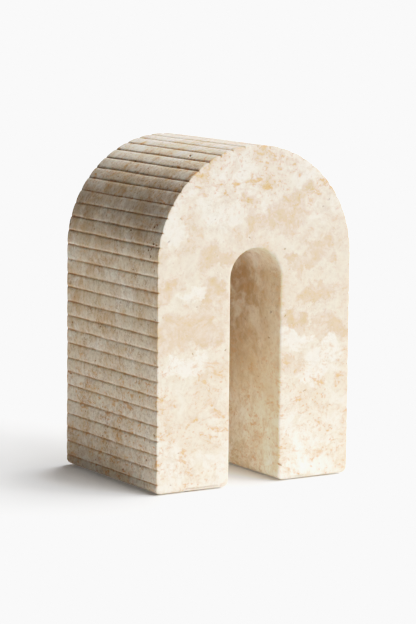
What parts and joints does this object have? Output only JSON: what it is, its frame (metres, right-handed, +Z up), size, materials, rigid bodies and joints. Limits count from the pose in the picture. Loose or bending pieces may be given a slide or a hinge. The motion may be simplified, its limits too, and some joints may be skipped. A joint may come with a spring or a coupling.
{
  "type": "book end",
  "caption": "Solid travertine book end shaped as an upside-down U, with a ribbed outer surface, flat faces for books to rest against and soft felt pads under its feet.",
  "frame": {"origin": "middle of the ground under the felt pads, at the centre of the footprint", "axes": "+Z up; the smooth front face looks along -Y and the smooth back face along +Y; the slot and the grooves run along Y; the ribbed sides look along -X and +X"},
  "size_m": [0.1, 0.08, 0.15],
  "materials": {
    "travertine": "honed, matt to silky, with cloudy beige patches, rusty specks and small open pits",
    "felt": "pressed wool felt",
    "adhesive": "milky pressure-sensitive adhesive film"
  },
  "bodies": {
    "root": {"stone_arch": "travertine", "felt_pad_front_left": "felt", "felt_pad_front_right": "felt", "felt_pad_back_left": "felt", "felt_pad_back_right": "felt", "pad_adhesive_front_left": "adhesive", "pad_adhesive_front_right": "adhesive", "pad_adhesive_back_left": "adhesive", "pad_adhesive_back_right": "adhesive"}
  },
  "joints": []
}
